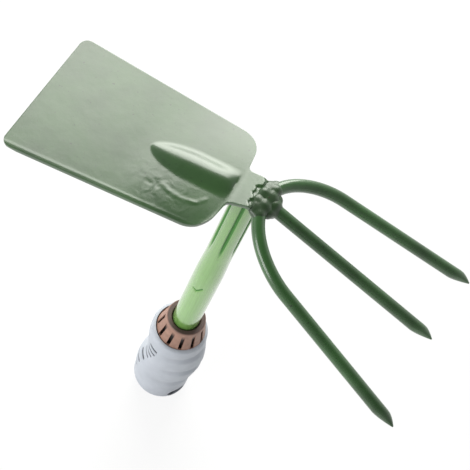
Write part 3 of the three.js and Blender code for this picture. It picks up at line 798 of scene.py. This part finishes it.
def makeCollar(material):
    # a spun profile, less a ring of blocks that leave a level floor in the cone
    c = collar
    bm = bmesh.new()
    profile = [
        (c["bore"], c["base"]), (c["baseRadius"] - c["chamfer"], c["base"]),
        (c["baseRadius"], c["base"] + c["chamfer"]), (c["faceRadius"], c["face"] - c["chamfer"]),
        (c["faceRadius"] - c["chamfer"], c["face"]), (c["bore"] + c["chamfer"], c["face"]),
        (c["bore"], c["face"] - c["chamfer"]),
    ]
    verts = [bm.verts.new((r, 0, z)) for r, z in profile]
    edges = [bm.edges.new((a, b)) for a, b in zip(verts, verts[1:] + verts[:1])]
    bmesh.ops.spin(
        bm, geom=verts + edges, cent=(0, 0, 0), axis=(0, 0, 1), angle=2 * math.pi, steps=c["sides"],
        use_merge=True,
    )
    joinEnds(bm)
    piece = newPiece("slotted_collar", bm, material, ["collar"], c["smoothAngle"])
    cutter = bmesh.new()
    height = c["face"] - c["slotEndMargin"] - gripTop
    centre = Vector((c["slotFloor"] + c["slotReach"] / 2, 0, gripTop + height / 2))
    for i in range(c["slots"]):
        block = bmesh.ops.create_cube(cutter, size=1)["verts"]
        bmesh.ops.scale(cutter, vec=Vector((c["slotReach"], c["slotWidth"], height)), verts=block)
        bmesh.ops.translate(cutter, vec=centre, verts=block)
        turn = Matrix.Rotation(c["phase"] + 2 * math.pi * i / c["slots"], 3, "Z")
        bmesh.ops.rotate(cutter, cent=(0, 0, 0), matrix=turn, verts=block)
    cutPiece(piece, cutter, c["smoothAngle"])


makeCollar(makeCollarFinish())
print("collar made")


# Grip sleeve: soft rubber, hand-shaped, with a fan of thumb slits, finger grooves and a hang hole

grip = dict(
    top=gripTop, radius=17.2, mouth=16.7, buttRound=8.0, mouthRound=2.0, floor=3.2,
    cavity=12.7, seat=15.8, seatTop=gripTop - 0.9, coreTop=boxOf("grip_core")[1].z,
    turn=math.radians(42), lean=1.2, leanSide=math.radians(161), leanNeutral=53.0,
    padRise=1.3, padHeight=27.0, padHalf=20.0, padSpread=math.radians(60),
    notchDepth=2.4, notchHeight=47.5, notchHalf=18.5, notchSpread=math.radians(70),
    notchLead=math.radians(36),
    fingers=math.radians(112), grooves=3, firstGroove=0.7,
    grooveDepth=1.7, groovePitch=17.5, grooveHalf=4.4, grooveSpread=math.radians(75),
    swell=math.radians(144), swellRise=3.1, swellHeight=46.0, swellHalf=30.0, swellSpread=math.radians(80),
    holeWide=12.0, holeTall=8.0, holeLift=9.5, holeTurn=math.radians(66), holeReach=25, holeSides=48,
    slitHalf=1.5, slitDepth=2.0, slitEase=2.5, skin=1,
    # the thumb slits, as heights and as angles round the grip in degrees
    slits=[
        dict(height=61.0, start=-40, stop=-14),
        dict(height=55.5, start=-43, stop=-16),
        dict(height=50.5, start=-49, stop=-22),
        dict(height=45.0, start=-58, stop=-29),
        dict(height=38.0, start=-65, stop=-36),
        dict(height=30.5, start=-72, stop=-42),
        dict(height=23.0, start=-74, stop=-46),
    ],
    sides=288, stepMm=0.4, buttSteps=12, mouthSteps=8, smoothAngle=45,
)


def slitDepthAt(angle, z):
    # how deep the thumb slits are here, in mm
    g = grip
    deepest = 0
    for slit in g["slits"]:
        middle = math.radians(slit["start"] + slit["stop"]) / 2
        half = math.radians(slit["stop"] - slit["start"]) / 2
        along = max(1 - (turnBetween(angle, middle) / half) ** 2, 0)
        across = bell(z - slit["height"], g["slitHalf"])
        deepest = max(deepest, g["slitDepth"] * min(along * g["slitEase"], 1) * across)
    return deepest


def roundedRadius(z):
    # the sleeve's plain turned form: a rounded butt, then a slight waist towards the mouth
    g = grip
    if z < g["buttRound"]:
        below = g["buttRound"] - z
        return g["radius"] - g["buttRound"] + math.sqrt(max(g["buttRound"] ** 2 - below ** 2, 0))
    return mix(g["radius"], g["mouth"], ((z - g["buttRound"]) / (g["top"] - g["buttRound"])) ** 2)


def sleeveRadius(angle, z):
    # the turned form with the hand's forms set round it from the thumb
    g = grip
    thumb = g["turn"] - math.pi / 2

    def bump(side, spread, height, half):
        return bell(turnBetween(angle, thumb + side), spread) * bell(z - height, half)

    pad = bump(0, g["padSpread"], g["padHeight"], g["padHalf"])
    notch = bump(-g["notchLead"], g["notchSpread"], g["notchHeight"], g["notchHalf"])
    swell = bump(g["swell"], g["swellSpread"], g["swellHeight"], g["swellHalf"])
    radius = roundedRadius(z)
    radius += g["padRise"] * pad - g["notchDepth"] * notch + g["swellRise"] * swell
    radius += g["lean"] * math.cos(turnBetween(angle, thumb + g["leanSide"])) * (1 - z / g["leanNeutral"])
    grooved = bell(turnBetween(angle, thumb + g["fingers"]), g["grooveSpread"]) * g["grooveDepth"]
    for i in range(g["grooves"]):
        radius -= grooved * bell(z - (g["top"] - g["groovePitch"] * (i + g["firstGroove"])), g["grooveHalf"])
    radius -= slitDepthAt(angle, z)
    fall = z - (g["top"] - g["mouthRound"])
    if fall > 0:
        radius -= g["mouthRound"] - math.sqrt(max(g["mouthRound"] ** 2 - fall ** 2, 0))
    return radius


def sleeveRows():
    # heights of the outer rings, closer together where the butt and the mouth are rounded
    g = grip
    rows = []
    for i in range(g["buttSteps"] + 1):
        rows.append(g["buttRound"] * (1 - math.cos(math.pi * i / (2 * g["buttSteps"]))))
    roundFrom = g["top"] - g["mouthRound"]
    while rows[-1] < roundFrom:
        rows.append(min(rows[-1] + g["stepMm"], roundFrom))
    for i in range(1, g["mouthSteps"] + 1):
        rows.append(g["top"] - g["mouthRound"] * (1 - math.sin(math.pi * i / (2 * g["mouthSteps"]))))
    return rows


def makeSleeve(material):
    # rings up the outside, then down the seat of the collar and the room of the core
    g = grip
    inside = [
        (g["seat"], g["seatTop"]), (g["seat"], g["coreTop"]),
        (g["cavity"], g["coreTop"]), (g["cavity"], g["floor"]),
    ]
    bm = bmesh.new()
    bmesh.ops.create_circle(bm, segments=g["sides"], radius=g["radius"], cap_ends=True)
    ring, edges = list(bm.verts), [e for e in bm.edges if e.is_boundary]
    for i, row in enumerate(sleeveRows() + inside):
        if i:
            ring, edges = growRing(bm, edges)
        for vert in ring:
            angle = math.atan2(vert.co.y, vert.co.x)
            radius, z = row if isinstance(row, tuple) else (sleeveRadius(angle, row), row)
            vert.co = (radius * math.cos(angle), radius * math.sin(angle), z)
    closeEnds(bm)
    piece = newPiece("grip_rubber", bm, material, ["grip_sleeve"], g["smoothAngle"])
    cutPiece(piece, hangHole(), g["smoothAngle"])
    # painted shade lies in the slits, in the hang hole and on the inner walls, and the finish reads it from
    # the mesh
    recessShade = piece.data.attributes.new("recessShade", "FLOAT", "POINT")
    for vert, entry in zip(piece.data.vertices, recessShade.data):
        angle = math.atan2(vert.co.y, vert.co.x)
        z = vert.co.z / mm
        inWall = math.hypot(vert.co.x, vert.co.y) / mm < sleeveRadius(angle, z) - g["skin"]
        entry.value = 1 if inWall else slitDepthAt(angle, z) / g["slitDepth"]


def hangHole():
    # the cutter: an oblong bar laid through the butt
    g = grip
    cutter = bmesh.new()
    arm, end = (g["holeWide"] - g["holeTall"]) / 2, g["holeTall"] / 2
    ring = bmesh.ops.create_circle(cutter, segments=g["holeSides"], radius=end, cap_ends=True)["verts"]
    for vert in ring:
        vert.co.x += math.copysign(arm, vert.co.x) if abs(vert.co.x) > hair else 0
    grown = bmesh.ops.extrude_face_region(cutter, geom=list(cutter.faces))
    far = [v for v in grown["geom"] if isinstance(v, bmesh.types.BMVert)]
    bmesh.ops.translate(cutter, vec=Vector((0, 0, 2 * g["holeReach"])), verts=far)
    bmesh.ops.recalc_face_normals(cutter, faces=cutter.faces)
    place = (
        Matrix.Translation((0, 0, g["holeLift"])) @ Matrix.Rotation(g["holeTurn"] - math.pi / 2, 4, "Z")
        @ Matrix.Rotation(math.pi / 2, 4, "X") @ Matrix.Translation((0, 0, -g["holeReach"]))
    )
    bmesh.ops.transform(cutter, matrix=place, verts=cutter.verts)
    return cutter


gripFinish = dict(
    color="#c0c5ce", shade="#b2b8c1", mottleMm=11, mottleRange=(0.3, 0.75),
    # the dark grey is painted shade in the slits, the hang hole and the inner walls
    recessShade="#2c3036", recessShadeRange=(0.06, 0.4),
    grainMm=0.7, grainDepth=0.03, roughness=0.62, bending=1.47, sheen=0.1,
)


def makeSleeveFinish():
    # thermoplastic rubber: soft, matt, pale bluish grey, with painted shade in its slits and its hang hole
    material, tree, coords = startMaterial("moulded_soft_grip_rubber")
    f = gripFinish
    mottle = ramp(tree, noiseAt(tree, coords, f["mottleMm"], detail=3), *f["mottleRange"])
    color = blendColor(tree, mottle, f["color"], f["shade"])
    recessShade = addNode(tree, "ShaderNodeAttribute", {"attribute_name": "recessShade"}).outputs["Fac"]
    color = blendColor(tree, ramp(tree, recessShade, *f["recessShadeRange"]), color, f["recessShade"])
    normal = bumpFrom(tree, noiseAt(tree, coords, f["grainMm"]), f["grainDepth"])
    look = {"Roughness": f["roughness"], "IOR": f["bending"], "Sheen Weight": f["sheen"]}
    shader = addNode(tree, "ShaderNodeBsdfPrincipled", look, {"Base Color": color, "Normal": normal})
    endMaterial(tree, shader)
    return material


makeSleeve(makeSleeveFinish())
print("grip made")


# Hidden pieces keep their CAD shape

coreFinish = dict(color="#1c1c1f", pale="#2a2a2e", patchMm=6, grainMm=0.8, grainDepth=0.02, roughness=0.55)


def makeCoreFinish():
    # black polypropylene, plain from the mould
    material, tree, coords = startMaterial("moulded_black_polypropylene")
    f = coreFinish
    normal = bumpFrom(tree, noiseAt(tree, coords, f["grainMm"]), f["grainDepth"])
    color = blendColor(tree, noiseAt(tree, coords, f["patchMm"]), f["color"], f["pale"])
    look = {"Roughness": f["roughness"]}
    shader = addNode(tree, "ShaderNodeBsdfPrincipled", look, {"Base Color": color, "Normal": normal})
    endMaterial(tree, shader)
    return material


for node, material in (("grip_core", makeCoreFinish()), ("tang", barPaint)):
    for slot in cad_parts[node].material_slots:
        slot.material = material
print("hidden pieces dressed")


# Floor, light and camera

floorLook = dict(halfSize=4000, color="#f2f2f2", glow=1.02, whiteShare=0.85)


def makeFloor():
    # white paper that mostly glows for the camera and the gloss: it stays plain and keeps a soft shadow
    bm = bmesh.new()
    bmesh.ops.create_grid(bm, x_segments=1, y_segments=1, size=floorLook["halfSize"])
    floor = meshObject("floor", bm)
    material, tree = startMaterial("white_studio_floor")[:2]
    path = addNode(tree, "ShaderNodeLightPath")
    diffuse = addNode(tree, "ShaderNodeBsdfDiffuse", {"Color": hexColor(floorLook["color"])})
    glow = addNode(tree, "ShaderNodeEmission", {"Color": (1, 1, 1, 1), "Strength": floorLook["glow"]})
    seen = calc(tree, "MAXIMUM", path.outputs["Is Camera Ray"], path.outputs["Is Glossy Ray"])
    whiten = calc(tree, "MULTIPLY", seen, floorLook["whiteShare"])
    parts = {0: whiten, 1: diffuse.outputs[0], 2: glow.outputs[0]}
    endMaterial(tree, addNode(tree, "ShaderNodeMixShader", {}, parts))
    floor.data.materials.append(material)


# pale studio walls under a dark ceiling, which is what the flanks turned upwards mirror
# the wall behind the camera is dimmer
studio = dict(
    wall=0.95, ceiling=0.16, wallTop=0.35, ceilingFrom=0.86, dimWay=(0.8, 0.6, 0), dimFull=0.8, dim=0.45,
)


def makeStudio():
    # the camera itself sees plain white behind the tool
    world = bpy.data.worlds.new("studio")
    scene.world = world
    world.use_nodes = True
    sky = world.node_tree
    way = addNode(sky, "ShaderNodeTexCoord").outputs["Generated"]
    upward = ramp(sky, heightOf(sky, way), studio["wallTop"], studio["ceilingFrom"])
    level = remap(sky, upward, 0, 1, studio["wall"], studio["ceiling"])
    side = addNode(sky, "ShaderNodeVectorMath", {"operation": "DOT_PRODUCT", 1: studio["dimWay"]}, {0: way})
    dimmed = remap(sky, side.outputs["Value"], 0, studio["dimFull"], 1, studio["dim"])
    seen = addNode(sky, "ShaderNodeLightPath").outputs["Is Camera Ray"]
    strength = calc(sky, "MAXIMUM", calc(sky, "MULTIPLY", level, dimmed), seen)
    background = sky.nodes["Background"]
    background.inputs["Color"].default_value = (1, 1, 1, 1)
    sky.links.new(strength, background.inputs["Strength"])


# the tall softbox on the -X side is what the blade mirrors to the camera
lamps = [
    dict(
        name="key_softbox", place=(-0.765, -0.38, 0.685), aim=(0, -0.04, 0.235), wide=0.8, tall=0.84,
        watts=13.9, tint=(0.99, 1, 0.935),
    ),
    dict(
        name="grip_softbox", place=(0.72, -0.5, 0.38), aim=(0, 0, 0.06), wide=0.6, tall=0.5,
        watts=4.6, tint=(1, 1, 1),
    ),
]


def addLamp(setup):
    light = bpy.data.lights.new(setup["name"], "AREA")
    light.shape = "RECTANGLE"
    light.size = setup["wide"]
    light.size_y = setup["tall"]
    light.energy = setup["watts"]
    light.color = setup["tint"]
    lamp = bpy.data.objects.new(setup["name"], light)
    lamp.location = setup["place"]
    aim = Vector(setup["aim"]) - Vector(setup["place"])
    lamp.rotation_euler = aim.to_track_quat("-Z", "Y").to_euler()
    scene.collection.objects.link(lamp)


# the photograph's own viewpoint, solved from the tool's round and straight parts
viewpoint = dict(place=(0.36217, 0.03555, 0.81245), turn=(27.691, -13.598, 119.275), lens=107.23, film=36)


def addCamera():
    cameraData = bpy.data.cameras.new("photo_camera")
    cameraData.lens = viewpoint["lens"]
    cameraData.sensor_width = viewpoint["film"]
    camera = bpy.data.objects.new("photo_camera", cameraData)
    camera.location = viewpoint["place"]
    camera.rotation_euler = [math.radians(v) for v in viewpoint["turn"]]
    scene.collection.objects.link(camera)
    scene.camera = camera


makeFloor()
makeStudio()
for setup in lamps:
    addLamp(setup)
addCamera()
scene.view_settings.view_transform = "Standard"
print("stage set")
